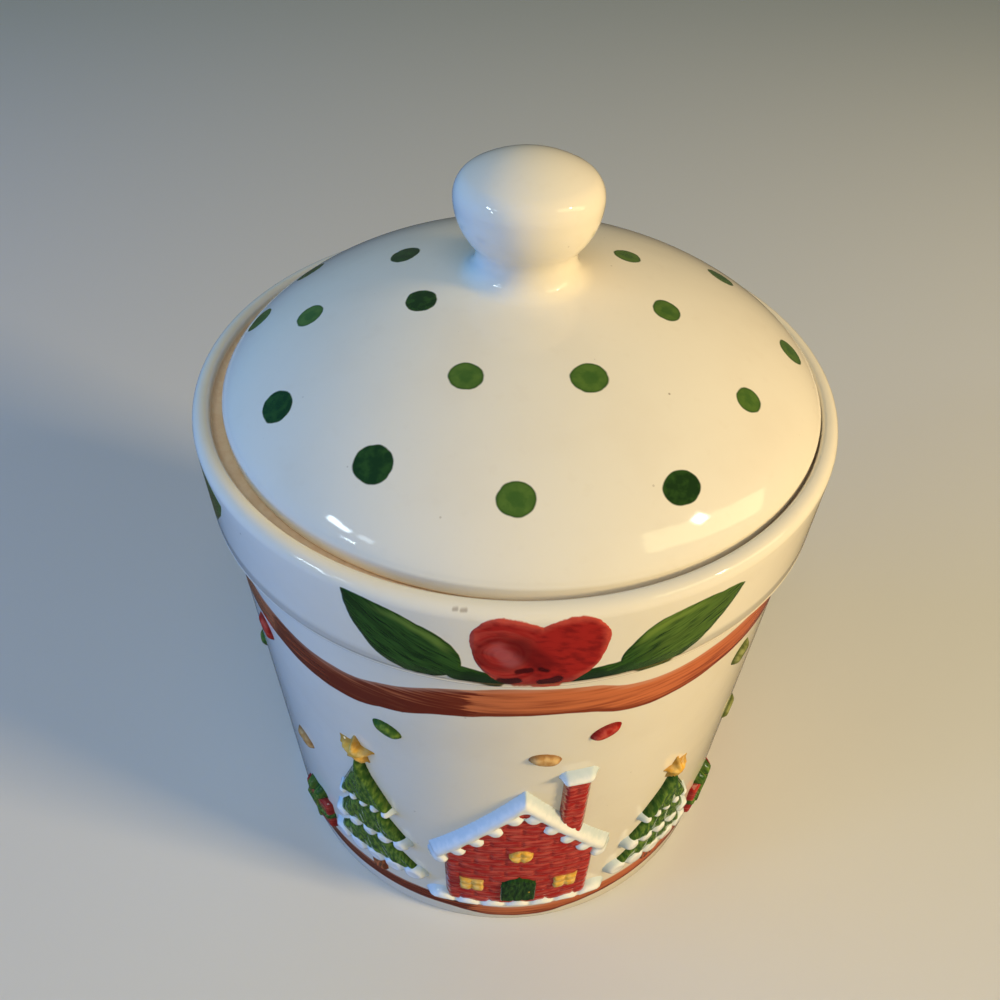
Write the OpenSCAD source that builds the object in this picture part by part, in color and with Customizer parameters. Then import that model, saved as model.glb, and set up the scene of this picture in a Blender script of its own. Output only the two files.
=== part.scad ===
// Glazed earthenware biscuit jar: a slip-cast jar with a deep plain collar, a domed lid
// with a mushroom knob that drops into the collar, and a winter picture of clay sprigs
// pressed on the front of the wall. Millimetres, +Z up, the front is -Y, and the origin
// is the centre of the foot.

/* [Jar] */
// Outside diameter of the collar
rim_d = 170; // [150:1:190]
// Height of the jar without its lid
jar_h = 175.3; // [160:0.1:210]
// Height of the collar, from its lower edge to the top of the rim
collar_h = 26.5; // [22:0.1:34]
// How far the body lies inside the collar, just under it
body_step = 2.8; // [2:0.1:5]
// How much the body's radius narrows from the collar to the foot
body_taper = 1.8; // [0:0.1:6]
// Thickness of the body wall
wall = 5; // [4:0.1:7]
// Thickness of the floor
floor_t = 6; // [4:0.1:9]
// Radius of the round edge between the wall and the foot
foot_round = 3; // [1.5:0.1:5]
// Radius of the hollow corner between the wall and the floor, inside
floor_round = 9; // [5:0.5:15]
// Width of the ring that the jar stands on
foot_ring_w = 5; // [4:0.5:9]
// How far the underside is hollowed inside that ring
foot_hollow = 1.8; // [1:0.1:3]

/* [Collar and seat] */
// Thickness of the rim beside the lid
rim_t = 4.5; // [3.5:0.1:6]
// Radius of the rim's outer edge
rim_round = 3; // [2:0.1:3.3]
// Radius of the collar's lower edge
collar_round = 1.8; // [1:0.1:1.9]
// Height of the incised line above the collar's lower edge
line_up = 2; // [1.9:0.1:5]
// Depth of the incised line
line_depth = 0.5; // [0.2:0.05:0.8]
// Depth of the lid's seat below the top of the rim
seat_depth = 4.3; // [3:0.1:7]
// Width of the seat
seat_w = 7; // [6:0.1:10]
// Height of the ledge that carries the seat
ledge_h = 6; // [4:0.1:9]

/* [Lid] */
// Play between the lid's edge and the rim, all round
lid_play = 1.9; // [1:0.1:3]
// Share of that play that the lid lies off the middle, towards +X
lid_lean = 0.8; // [0:0.05:0.85]
// Gap between the lid and its seat
seat_gap = 0.3; // [0.2:0.05:0.5]
// Thickness of the lid's edge
edge_t = 4.8; // [4:0.1:7]
// Radius of the edge's upper corner
edge_round = 1.6; // [1:0.1:2.2]
// Height of the dome above the edge
dome_h = 28.5; // [18:0.5:40]
// Shape of the dome's shoulder: 1 is a plain bowl, less is fuller
dome_power = 0.8; // [0.7:0.05:1]
// Thickness of the dome
lid_t = 4.6; // [4:0.1:6]
// Thickness of the locating ring under the lid
ring_t = 3.5; // [3:0.1:5]
// How far the locating ring reaches below the edge
ring_h = 8; // [5:0.5:14]

/* [Knob] */
// Largest diameter of the knob
knob_d = 35.6; // [32:0.1:42]
// Height of the knob above the top of the dome
knob_h = 28; // [24:0.5:36]
// Height of the knob's round top above its widest place
knob_crown = 9.5; // [8:0.1:12]
// Radius of the turn between the knob's top and its side
knob_round = 6.5; // [4.5:0.1:8]
// Diameter of the neck
neck_d = 25; // [20:0.1:28]
// Radius of the hollow between the neck and the dome
neck_round = 5.5; // [4:0.1:8]
// Thickness of the clay round the hollow in the neck
neck_wall = 5; // [4:0.1:7]

/* [Winter picture] */
// Height of the snow line on the wall
ground_z = 19; // [16:0.5:30]
// Thickness of the lowest layer of the sprigs
sprig_t = 1.4; // [1:0.1:1.6]
// How much each layer stands out from the one below
layer_t = 0.7; // [0.4:0.05:0.75]
// Width of the cottage
cottage_w = 46; // [38:1:50]
// Height of the cottage's eaves
eaves_h = 34; // [28:1:40]
// Height of the cottage's ridge
ridge_h = 76; // [62:1:84]
// Thickness of the snow on the roof
snow_t = 9; // [6:0.5:11]
// Height of the taller fir tree
tall_fir_h = 84; // [70:1:90]
// Height of the shorter fir tree
short_fir_h = 66; // [56:1:80]
// Width of each fir tree
fir_w = 36; // [30:1:40]
// Angle from the front to each fir tree, in degrees
fir_angle = 34; // [32:0.5:38]
// Width of each parcel
parcel_w = 15; // [12:0.5:16]
// Height of each parcel without its bow
parcel_h = 17; // [13:0.5:22]
// Angle from the front to each parcel, in degrees
parcel_angle = 54; // [53:0.5:62]

/* [Hidden] */
$fn = 96;
arc_steps = 10;
dome_steps = 24;

rim_r = rim_d / 2;
collar_z = jar_h - collar_h;
body_r = rim_r - body_step;
foot_r = body_r - body_taper;
well_r = rim_r - rim_t;
seat_z = jar_h - seat_depth;
mouth_r = well_r - seat_w;
rim_inner_round = 1.2;
line_w = 2 * line_depth;
ring_in_r = foot_r - foot_round - foot_ring_w;
collar_in_r = well_r - 1;

lid_r = well_r - lid_play;
lid_z = seat_z + seat_gap;
lid_shift = lid_lean * lid_play;
edge_low_round = 1;
// The edge's upper corner starts at this angle, where it carries on the dome's slope
edge_turn = 40;
dome_r = lid_r - edge_round * (1 - cos(edge_turn));
dome_z0 = lid_z + edge_t;
ring_play = lid_play + 0.3;
ring_r = mouth_r - ring_play;
ring_end_r = 1;
hollow_r = ring_r - ring_t;
// The dome's inside is its outside lowered by this much: more than lid_t, for the slope thins it
inner_drop = 1.15 * lid_t;

knob_r = knob_d / 2;
knob_top_z = dome_z0 + dome_h + knob_h;
knob_z = knob_top_z - knob_crown;
neck_c = neck_d / 2 + neck_round;
neck_slope = atan(2 * dome_power * dome_h * neck_c / pow(dome_r, 2)
    * pow(1 - pow(neck_c / dome_r, 2), dome_power - 1));
neck_foot_r = neck_c - neck_round * sin(neck_slope);
neck_z = dome_at(neck_foot_r) + neck_round * cos(neck_slope);
// The knob's underside is one arc, tangent to the neck's hollow and upright at the widest place
side_gap = neck_c - knob_r;
side_rise = knob_z - neck_z;
side_round = (side_gap * side_gap + side_rise * side_rise - neck_round * neck_round)
    / (2 * (neck_round - side_gap));
side_angle = atan2(side_rise, neck_c - knob_r + side_round);
// The knob's top is one wide arc, tangent to the round turn at its side
crown_c = knob_r - knob_round;
crown_drop = (crown_c * crown_c - pow(knob_crown - knob_round, 2)) / (2 * (knob_crown - knob_round));
crown_angle = atan2(crown_drop, crown_c);
// The knob is hollow, as slip-cast knobs are: a tapering pocket open to the underside
pocket_end_r = neck_d / 2 - neck_wall;
pocket_r = pocket_end_r + 1.5;
pocket_top_z = knob_top_z - 1.6 * neck_wall;

// The sprigs' layers count from 0
top_layer = 2;

// Points of an arc about c from angle a to angle b
function arc(c, r, a, b, n = arc_steps) =
    [for (i = [0:n]) let (t = a + (b - a) * i / n) [c.x + r * cos(t), c.y + r * sin(t)]];

// Height of the dome's outside at radius r
function dome_at(r) = dome_z0 + dome_h * pow(max(0, 1 - pow(r / dome_r, 2)), dome_power);

module jar() {
    inner_top_r = body_r - wall;
    inner_foot_r = foot_r - wall;
    line_z = collar_z + line_up;
    color("ivory") rotate_extrude() polygon(concat(
        [[0, foot_hollow], [ring_in_r - foot_hollow, foot_hollow], [ring_in_r, 0]],
        arc([foot_r - foot_round, foot_round], foot_round, -90, 0),
        [[body_r, collar_z]],
        arc([rim_r - collar_round, collar_z + collar_round], collar_round, -90, 0),
        [[rim_r, line_z - line_w / 2], [rim_r - line_depth, line_z], [rim_r, line_z + line_w / 2]],
        arc([rim_r - rim_round, jar_h - rim_round], rim_round, 0, 90),
        arc([well_r + rim_inner_round, jar_h - rim_inner_round], rim_inner_round, 90, 180),
        arc([well_r - rim_inner_round, seat_z + rim_inner_round], rim_inner_round, 0, -90),
        arc([mouth_r + rim_inner_round, seat_z - rim_inner_round], rim_inner_round, 90, 180),
        [[mouth_r, seat_z - ledge_h], [collar_in_r, seat_z - ledge_h - (collar_in_r - mouth_r)]],
        [[inner_top_r, collar_z - collar_round]],
        arc([inner_foot_r - floor_round, floor_t + floor_round], floor_round, 0, -90),
        [[0, floor_t]]
    ));
}

module lid() {
    color("ivory") translate([lid_shift, 0, 0]) rotate_extrude() polygon(concat(
        arc([0, knob_z - crown_drop], knob_crown + crown_drop, 90, crown_angle),
        arc([crown_c, knob_z], knob_round, crown_angle, 0),
        arc([knob_r - side_round, knob_z], side_round, 0, -side_angle),
        arc([neck_c, neck_z], neck_round, 180 - side_angle, 270 - neck_slope),
        [for (i = [1:dome_steps]) let (r = neck_foot_r + (dome_r - neck_foot_r) * i / dome_steps)
            [r, dome_at(r)]],
        arc([lid_r - edge_round, dome_z0 - edge_round * sin(edge_turn)], edge_round, edge_turn, 0, 6),
        arc([lid_r - edge_low_round, lid_z + edge_low_round], edge_low_round, 0, -90, 6),
        [[ring_r, lid_z]],
        arc([ring_r - ring_end_r, lid_z - ring_h + ring_end_r], ring_end_r, 0, -90, 6),
        arc([hollow_r + ring_end_r, lid_z - ring_h + ring_end_r], ring_end_r, -90, -180, 6),
        [for (i = [0:dome_steps]) let (r = hollow_r + (pocket_r - hollow_r) * i / dome_steps)
            [r, dome_at(r) - inner_drop]],
        arc([0, pocket_top_z - pocket_end_r], pocket_end_r, 20, 90, 6)
    ));
}

// The outside of the wall, grown by t
module wall_cone(t) {
    translate([0, 0, foot_round])
        cylinder(h = collar_z - foot_round, r1 = foot_r + t, r2 = body_r + t);
}

// A flat outline wrapped on the wall, with its own zero at the snow line: it seats on the
// wall, and layer 0 is the lowest
module sprig(angle, layer = 0) {
    rotate([0, 0, angle]) difference() {
        intersection() {
            wall_cone(sprig_t + layer * layer_t);
            translate([0, 0, ground_z]) rotate([90, 0, 0]) linear_extrude(rim_r) children();
        }
        wall_cone(0);
    }
}

// A drift of snow with a lumpy top: a row of arcs that meet in shallow dips
module drift(w, lumps, dip_h) {
    dip_a = 30;
    pitch = w / lumps;
    lump_r = pitch / 2 / cos(dip_a);
    centre_y = dip_h - lump_r * sin(dip_a);
    polygon(concat([[-w / 2, 0]],
        [for (i = [0:lumps - 1])
            each arc([-w / 2 + (i + 0.5) * pitch, centre_y], lump_r, 180 - dip_a, dip_a + 10, 5)],
        [[w / 2, 0]]));
}

module cottage_front() {
    under_snow = snow_t / 2;
    polygon([[-cottage_w / 2, 0], [cottage_w / 2, 0], [cottage_w / 2, eaves_h + under_snow],
        [0, ridge_h - snow_t + under_snow], [-cottage_w / 2, eaves_h + under_snow]]);
}

// Snow on both slopes of the roof, hanging in lumps along its lower edge
module roof_snow() {
    over = 4;
    lumps = 5;
    slope = (ridge_h - snow_t - eaves_h) / (cottage_w / 2);
    reach = cottage_w / 2 + over;
    eave_y = ridge_h - reach * slope;
    polygon([[0, ridge_h], [reach, eave_y], [reach, eave_y - snow_t], [0, ridge_h - snow_t],
        [-reach, eave_y - snow_t], [-reach, eave_y]]);
    lump_r = 0.6 * reach / lumps;
    for (side = [-1, 1], i = [0:lumps - 1]) {
        x = (i + 0.5) * reach / lumps;
        translate([side * x, ridge_h - snow_t - x * slope]) circle(r = lump_r);
    }
}

module cottage_sprig() {
    door_w = cottage_w / 4;
    door_z = 5;
    door_h = eaves_h * 0.35;
    pane = cottage_w / 6;
    pane_x = cottage_w * 0.32;
    pane_y = eaves_h * 0.5;
    chimney_x = cottage_w * 0.22;
    chimney_w = cottage_w / 6;
    chimney_top = ridge_h + 6;
    cap_over = 1;
    cap_h = 4;
    drift_over = 5;
    color("firebrick") sprig(0, 1) {
        cottage_front();
        translate([chimney_x, ridge_h / 2]) square([chimney_w, chimney_top - ridge_h / 2]);
    }
    color("white") sprig(0, top_layer) {
        roof_snow();
        translate([chimney_x - cap_over, chimney_top - cap_over])
            square([chimney_w + 2 * cap_over, cap_h]);
        drift(cottage_w + 2 * drift_over, 7, 2);
    }
    color("darkgreen") sprig(0, top_layer) polygon(concat(
        [[-door_w / 2, door_z], [door_w / 2, door_z]], arc([0, door_z + door_h], door_w / 2, 0, 180)));
    color("gold") sprig(0, top_layer) {
        for (side = [-1, 1]) translate([side * pane_x, pane_y]) square(pane, center = true);
        translate([0, eaves_h * 1.15]) circle(d = pane);
    }
}

// One tier of branches, drawn in to a waist below its point
module tier(w, h) {
    waist = w * 0.16;
    waist_y = h * 0.55;
    polygon([[0, h], [waist, waist_y], [w / 2, 0], [-w / 2, 0], [-waist, waist_y]]);
}

// Lumps of snow along the lower edge of a tier
module tier_snow(w) {
    lump_r = w / 9;
    for (x = [-0.4, -0.2, 0, 0.2, 0.4]) translate([x * w, 0]) circle(r = lump_r);
}

module star(r) {
    points = 5;
    inner_r = 0.45 * r;
    polygon([for (i = [0:2 * points - 1])
        let (a = 90 + 180 * i / points, s = i % 2 == 0 ? r : inner_r) [s * cos(a), s * sin(a)]]);
}

// Three tiers on a trunk, each tier one layer above the one below it, and a star
module fir(angle, h) {
    trunk_h = h * 0.13;
    trunk_w = fir_w / 6;
    tier_h = h * 0.36;
    star_r = h * 0.07;
    widths = [fir_w, fir_w * 0.78, fir_w * 0.54];
    rises = [trunk_h, h * 0.36, h * 0.58];
    color("saddlebrown") sprig(angle, 0)
        translate([-trunk_w / 2, 0]) square([trunk_w, trunk_h + 1]);
    for (k = [0:2]) {
        color("forestgreen") sprig(angle, k) translate([0, rises[k]]) tier(widths[k], tier_h);
        color("white") sprig(angle, min(k + 1, top_layer))
            translate([0, rises[k]]) tier_snow(widths[k]);
    }
    color("gold") sprig(angle, top_layer) translate([0, h - star_r]) star(star_r);
}

module left_fir_sprig() {
    fir(-fir_angle, tall_fir_h);
}

module right_fir_sprig() {
    fir(fir_angle, short_fir_h);
}

// A parcel with a ribbon crossed over it and two loops of a bow
module parcel(angle) {
    band_w = parcel_w / 5;
    bow_r = parcel_w / 6;
    bow_x = 0.9 * bow_r;
    bow_y = parcel_h + 0.7 * bow_r;
    color("firebrick") sprig(angle, 1) translate([-parcel_w / 2, 0]) square([parcel_w, parcel_h]);
    color("darkgreen") sprig(angle, top_layer) {
        translate([-band_w / 2, 0]) square([band_w, parcel_h]);
        translate([-parcel_w / 2, parcel_h / 2 - band_w / 2]) square([parcel_w, band_w]);
        for (side = [-1, 1]) translate([side * bow_x, bow_y]) circle(r = bow_r);
    }
}

module parcel_sprigs() {
    parcel(-parcel_angle);
    parcel(parcel_angle);
}

jar();
lid();
cottage_sprig();
left_fir_sprig();
right_fir_sprig();
parcel_sprigs();
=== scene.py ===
# %% [markdown]
# # A hand-painted biscuit jar
#
# The jar is two slip castings of cream earthenware: a round jar with a deep plain collar, and
# a domed lid that drops into the collar and has a mushroom knob. A winter picture stands out
# of the front of the wall as low clay relief. Underglaze colours are brushed on, and one
# thick, clear, glossy glaze covers them.
#
# The CAD model already fixes every size and place, so this lesson only dresses it. Lengths are
# written in millimetres, as a potter would say them, and turned into metres once, when a point
# is made. Only the floor and the lamps are given in metres.

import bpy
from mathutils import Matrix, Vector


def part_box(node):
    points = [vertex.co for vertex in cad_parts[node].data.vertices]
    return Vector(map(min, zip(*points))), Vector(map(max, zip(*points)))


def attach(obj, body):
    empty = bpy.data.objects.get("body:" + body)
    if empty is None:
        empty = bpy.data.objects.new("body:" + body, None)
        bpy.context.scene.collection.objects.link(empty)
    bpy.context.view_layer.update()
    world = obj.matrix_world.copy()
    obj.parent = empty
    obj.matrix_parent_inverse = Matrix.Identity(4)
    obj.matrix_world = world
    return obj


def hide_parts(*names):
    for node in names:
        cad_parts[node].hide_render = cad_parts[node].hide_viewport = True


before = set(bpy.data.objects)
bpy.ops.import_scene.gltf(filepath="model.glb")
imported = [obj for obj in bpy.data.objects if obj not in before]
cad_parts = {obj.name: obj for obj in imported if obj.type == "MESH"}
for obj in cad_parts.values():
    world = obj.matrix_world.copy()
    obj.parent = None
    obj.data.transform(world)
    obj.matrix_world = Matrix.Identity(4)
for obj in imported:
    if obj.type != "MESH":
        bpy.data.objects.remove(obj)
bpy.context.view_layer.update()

import math
from functools import reduce

import bmesh
import bpy
import numpy as np
from mathutils import Matrix, Vector

MM = 0.001

_, jar_high = (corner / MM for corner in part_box("jar"))
lid_low, lid_high = (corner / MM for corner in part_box("lid"))
rim_r = jar_high.x
jar_h = jar_high.z
lid_r = (lid_high.x - lid_low.x) / 2
lid_x = (lid_high.x + lid_low.x) / 2
knob_top = lid_high.z
print(f"jar {2 * rim_r:.0f} mm wide and {jar_h:.1f} mm high, lid {2 * lid_r:.1f} mm wide")
print(f"the lid leans {lid_x:.2f} mm towards +X and its knob ends at {knob_top:.1f} mm")


def add_object(name, data):
    """Puts a new object that shows this data into the scene."""
    made = bpy.data.objects.new(name, data)
    bpy.context.scene.collection.objects.link(made)
    return made


# %% [markdown]
# ## Camera
#
# The camera looks down on the jar from close by, so near parts are much larger than far ones.
# Its place is given as a real distance and height, and its turn as yaw, pitch and roll. The
# focal length is the picture's field of view written as pixels across a frame 1000 pixels wide.

# %% Camera
frame_px = 1000
focal_px = 850.0
sensor_mm = 36.0
camera_back = 190.2
camera_height = 309.4
camera_yaw = math.radians(-1.0)
camera_pitch = math.radians(44.16)
camera_roll = math.radians(1.53)
# The painted heart faces a little to the right of the camera
jar_turn = math.radians(-5.0)

ahead = Vector((math.sin(camera_yaw) * math.cos(camera_pitch),
                math.cos(camera_yaw) * math.cos(camera_pitch), -math.sin(camera_pitch)))
side = Vector((math.cos(camera_yaw), -math.sin(camera_yaw), 0))
upward = side.cross(ahead)
right = math.cos(camera_roll) * side + math.sin(camera_roll) * upward
up = -math.sin(camera_roll) * side + math.cos(camera_roll) * upward

camera_data = bpy.data.cameras.new("camera")
camera_data.sensor_width = sensor_mm
camera_data.lens = focal_px / frame_px * sensor_mm
camera_data.clip_start = 0.01
camera = add_object("camera", camera_data)
stand = Matrix((right, up, -ahead)).transposed().to_4x4()
stand.translation = Vector((0, -camera_back, camera_height)) * MM
camera.matrix_world = Matrix.Rotation(jar_turn, 4, "Z") @ stand
bpy.context.scene.camera = camera
print(f"lens {camera_data.lens:.1f} mm, camera at {tuple(round(c, 3) for c in camera.location)}")

# %% [markdown]
# ## Shader maths as ordinary arithmetic
#
# Paint on a pot is easiest to describe with sums: a band is where the height is within a few
# millimetres of a line, a dot is where the distance to its middle is small. Wiring such sums
# by hand takes dozens of Math nodes, so one small class wraps a socket and turns each operator
# into its node. Every other node comes from its one `node` method.

# %% A wire of a material
class Wire:
    """One output socket of a material's nodes, which arithmetic can be written on."""

    def __init__(self, socket):
        self.socket = socket

    def node(self, kind, settings=None, sockets=None, out=0):
        """Adds a node: its settings first, then the values or links of its sockets."""
        made = self.socket.id_data.nodes.new(kind)
        for name, value in (settings or {}).items():
            if name == "curve":
                points = made.mapping.curves[0].points
                points[0].location, points[1].location = value[0], value[-1]
                for x, y in value[1:-1]:
                    points.new(x, y)
                made.mapping.update()
            else:
                setattr(made, name, value)
        for name, value in (sockets or {}).items():
            if isinstance(value, Wire):
                self.socket.id_data.links.new(made.inputs[name], value.socket)
            else:
                made.inputs[name].default_value = value
        return Wire(made.outputs[out]) if made.outputs else None

    def maths(self, operation, *values):
        return self.node("ShaderNodeMath", {"operation": operation},
                         dict(enumerate((self, *values))))

    def vector_maths(self, operation, other, out=0):
        return self.node("ShaderNodeVectorMath", {"operation": operation},
                         {0: self, 1: other}, out)

    def __add__(self, other):
        return self.maths("ADD", other)

    def __sub__(self, other):
        return self.maths("SUBTRACT", other)

    def __mul__(self, other):
        return self.maths("MULTIPLY", other)

    def __truediv__(self, other):
        return self.maths("DIVIDE", other)

    def __pow__(self, other):
        return self.maths("POWER", other)

    def __rsub__(self, other):
        return self.node("ShaderNodeMath", {"operation": "SUBTRACT"}, {0: other, 1: self})

    def __abs__(self):
        return self.maths("ABSOLUTE")

    __radd__ = __add__
    __rmul__ = __mul__


def most(*wires):
    return reduce(lambda first, other: first.maths("MAXIMUM", other), wires)


def least(*wires):
    return reduce(lambda first, other: first.maths("MINIMUM", other), wires)


def clipped(wire, low=0.0, high=1.0):
    return least(most(wire, low), high)


def rise(wire, low, high):
    """0 below low, 1 above high, and a smooth step between."""
    return wire.node("ShaderNodeMapRange", {"interpolation_type": "SMOOTHSTEP"},
                     {"Value": wire, "From Min": low, "From Max": high})


def axes(vector):
    """The X, Y and Z of a vector or colour wire."""
    first = vector.node("ShaderNodeSeparateXYZ", sockets={"Vector": vector})
    return [Wire(socket) for socket in first.socket.node.outputs]


def point(x, y, z):
    wire = next(w for w in (x, y, z) if isinstance(w, Wire))
    return wire.node("ShaderNodeCombineXYZ", sockets={"X": x, "Y": y, "Z": z})


def cloud(vector, size, detail=2.0, out=0):
    """Noise whose lumps are about size millimetres wide."""
    return vector.node("ShaderNodeTexNoise",
                       sockets={"Vector": vector, "Scale": 1 / size, "Detail": detail}, out=out)


def mix(mask, first, second):
    """The first colour where the mask is 0 and the second where it is 1."""
    factor, a, b = 0, 6, 7
    colours = {a: first, b: second}
    colours = {k: v if isinstance(v, Wire) else (*v, 1) for k, v in colours.items()}
    return mask.node("ShaderNodeMix", {"data_type": "RGBA"}, {factor: mask, **colours}, out=2)


# %% [markdown]
# ## The glaze
#
# One glaze covers the whole jar, so one function makes the surface of every material: a single
# hard, glossy layer with the paint as its colour, which gives the sharp window-like highlights.
# Fired glaze is never quite flat. It pulls into long shallow waves and has a fine orange peel,
# which a Bump node gives. The wave height is written in millimetres, and the Bump node's
# distance of one millimetre turns it into metres.

# %% Glaze
cream = (0.82, 0.77, 0.665)
cream_thin = (0.72, 0.64, 0.52)
bare_clay = (0.82, 0.64, 0.46)
bare_clay_light = (0.88, 0.73, 0.56)
speck_brown = (0.16, 0.09, 0.05)
snow_white = (0.86, 0.87, 0.87)
# Pale blue painted as shade round the foot of white relief
snow_shade_blue = (0.40, 0.54, 0.62)
brick_red = (0.36, 0.020, 0.018)
brick_pink = (0.52, 0.085, 0.065)
heart_red = (0.37, 0.018, 0.014)
heart_thin = (0.55, 0.085, 0.060)
# Purplish red painted as a reflection of the cool light on the heart's left lobe
heart_reflection_wash = (0.46, 0.13, 0.14)
dark_red = (0.11, 0.004, 0.005)
deep_red = (0.05, 0.002, 0.003)
leaf_dark = (0.010, 0.036, 0.008)
leaf_green = (0.038, 0.105, 0.018)
leaf_light = (0.17, 0.27, 0.045)
band_brown = (0.17, 0.024, 0.010)
band_orange = (0.62, 0.175, 0.065)
band_dry = (0.62, 0.33, 0.22)
dot_green = (0.085, 0.165, 0.028)
trunk_brown = (0.16, 0.060, 0.025)
gold = (0.78, 0.42, 0.06)


def new_material(name):
    """A material with only a Texture Coordinate node; returns it and its place in mm."""
    material = bpy.data.materials.new(name)
    material.use_nodes = True
    material.node_tree.nodes.clear()
    coordinates = material.node_tree.nodes.new("ShaderNodeTexCoord")
    metres = Wire(coordinates.outputs["Object"])
    return material, metres.vector_maths("MULTIPLY", (1 / MM, 1 / MM, 1 / MM))


def glaze(place, colour, bare=None, height=None):
    """Ends a material: glazed paint, with unglazed clay where the bare mask is 1."""
    waves = cloud(place, 26, 1) * 0.16 + cloud(place, 5, 2) * 0.028
    if height is not None:
        waves = waves + height
    roughness = rise(cloud(place, 18), 0.35, 0.75) * 0.04 + 0.05
    if bare is not None:
        roughness = roughness + bare * 0.6
        clay = mix(rise(cloud(place, 2, 4), 0.3, 0.7), bare_clay, bare_clay_light)
        colour = mix(bare, colour, clay)
    normal = place.node("ShaderNodeBump", sockets={"Distance": MM, "Height": waves})
    shader = place.node("ShaderNodeBsdfPrincipled", sockets={
        "Base Color": colour, "Roughness": roughness, "IOR": 1.47, "Normal": normal})
    place.node("ShaderNodeOutputMaterial", sockets={"Surface": shader})


def specks(place, size, share, reach):
    """A mask of small round specks: one in some of the cells of a grid size mm wide."""
    cell = place.node("ShaderNodeTexVoronoi", sockets={"Vector": place, "Scale": 1 / size})
    chosen = axes(Wire(cell.socket.node.outputs["Color"]))
    return rise(reach * chosen[1] / size - cell, 0, 0.3 * reach / size) * rise(
        chosen[0], 1 - share, 1.02 - share)


def body_clay(place):
    """Cream glaze with faint stains where it runs thin, and a few brown pinholes."""
    stain = rise(cloud(place, 30, 4), 0.46, 0.78) * 0.30
    colour = mix(stain, cream, cream_thin)
    colour = mix(rise(cloud(place, 4, 3), 0.60, 0.72) * 0.10, colour, cream_thin)
    pinholes = most(specks(place, 5, 0.30, 0.42) * 0.5, specks(place, 16, 0.35, 0.7))
    return mix(pinholes * 0.6, colour, speck_brown)


# %% [markdown]
# ## Brush marks
#
# Every painted shape is a sum that is above 0 inside the shape, in millimetres from its edge.
# `edge` turns that into a mask with the slightly soft edge of underglaze paint. Leaves, stems
# and short dabs all lie along a line, so they share the same start: how far along the line a
# place is, and how far across.

# %% Painted shapes
def edge(inside, softness=0.45):
    return rise(inside, -softness / 2, softness / 2)


def along_line(u, v, start, end):
    """Share of the way from start to end, and distance across the line in mm."""
    du, dv = end[0] - start[0], end[1] - start[1]
    length = math.hypot(du, dv)
    du, dv = du / length, dv / length
    along = ((u - start[0]) * du + (v - start[1]) * dv) / length
    across = (v - start[1]) * du - (u - start[0]) * dv
    return along, across, length


def stroke(u, v, start, end, half_width):
    """A dab of the brush with round ends."""
    along, across, length = along_line(u, v, start, end)
    beyond = (along - clipped(along)) * length
    return half_width - (beyond * beyond + across * across) ** 0.5


def leaf(u, v, base, tip, half_width, bow):
    """A leaf that is widest before its middle and bowed sideways by bow mm."""
    along, across, length = along_line(u, v, base, tip)
    t = clipped(along, 0.0001, 0.9999)
    width = ((t ** 0.75) * math.pi).maths("SINE") ** 0.8 * half_width
    bend = (t * math.pi).maths("SINE") * bow
    beyond = abs(along - t) * length
    return width - abs(across - bend) - beyond, along, across - bend


def heart(u, v):
    """A plump heart: two round lobes with a shallow notch over a blunt, wide point."""
    lobe_x, lobe_reach, notch_d = 8.3, 6.6, 2.6
    lobe_top, lobe_h, belly_z, belly_h = 173.9, 8.2, 166.0, 15.9
    a = abs(u)
    inner = most(lobe_x - a, 0.0) / lobe_x
    outer = clipped((a - lobe_x) / lobe_reach)
    round_off = 1 - (1 - outer * outer) ** 0.5
    top = lobe_top - inner * inner * notch_d - round_off * lobe_h
    across = least(a / (lobe_x + lobe_reach), 1.0)
    bottom = belly_z - (1 - across ** 3) ** 0.59 * belly_h
    return least(top - v, v - bottom, lobe_x + lobe_reach - a)


# %% [markdown]
# ## The jar's paint
#
# The paint is drawn on the wall as on a map: how far round the jar a place is, in degrees from
# the front, and how high it is. A heart between two leaves is repeated four times round the
# collar, a brown band runs under the collar and another round the foot. The bands were drawn
# with the jar on a turning wheel and a hand that wasn't quite steady, so their height follows
# a curve through a few measured places. All edges are bent a little by noise.

# %% Places on the jar
collar_z = 148.8
line_z = collar_z + 2.0
# Radii and heights where paint or bare clay ends, inside the clay between two surfaces
wall_paint_r, collar_paint_r = 78.9, 82.9
seat_out_r, seat_low, seat_high = 80.85, 167.0, 173.2
foot_bare_r, foot_bare_h = 71.0, 0.75
# The heart's group is centred every 90 degrees, so it reaches 45 to each side
heart_repeat = math.radians(45)
# Turn from the front in degrees, and height of the middle of the brown band there
band_places = [(-180, 134.5), (-120, 136.5), (-75, 133), (-52, 131.2), (-38, 128.8), (-26, 131.5),
               (-11, 137.6), (0, 139.3), (9, 138.4), (22, 134.2), (40, 135.4), (80, 133.5),
               (130, 136), (180, 134.5)]
band_half = 5.6
foot_band_places = [(-180, 11.5), (-90, 12.5), (-60, 11), (-33, 12.6), (-18, 12.4), (-5, 8.9),
                    (3, 8.4), (14, 10.8), (27, 12.6), (70, 11), (120, 12.3), (180, 11.5)]
foot_band_half = 3.9
# Turns in degrees where the brush was loaded again, and how light the paint is from there on.
# In front, the dark paint from -52 and the light paint from -10.5 also stand in for painted
# shade at the left and a painted sheen in the middle.
brush_loads_and_sheen = [(-150, 0.25), (-96, 0.6), (-52, 0.1), (-10.5, 0.75), (58, 0.45), (104, 0.7),
               (139, 0.3)]


def height_round(place, turn, places, low, high):
    """A height that changes with the turn from the front, as a smooth curve."""
    curve = [((degrees + 180) / 360, (z - low) / (high - low)) for degrees, z in places]
    share = place.node("ShaderNodeFloatCurve", {"curve": curve},
                       {"Value": (turn + math.pi) / math.tau})
    return share * (high - low) + low


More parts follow.
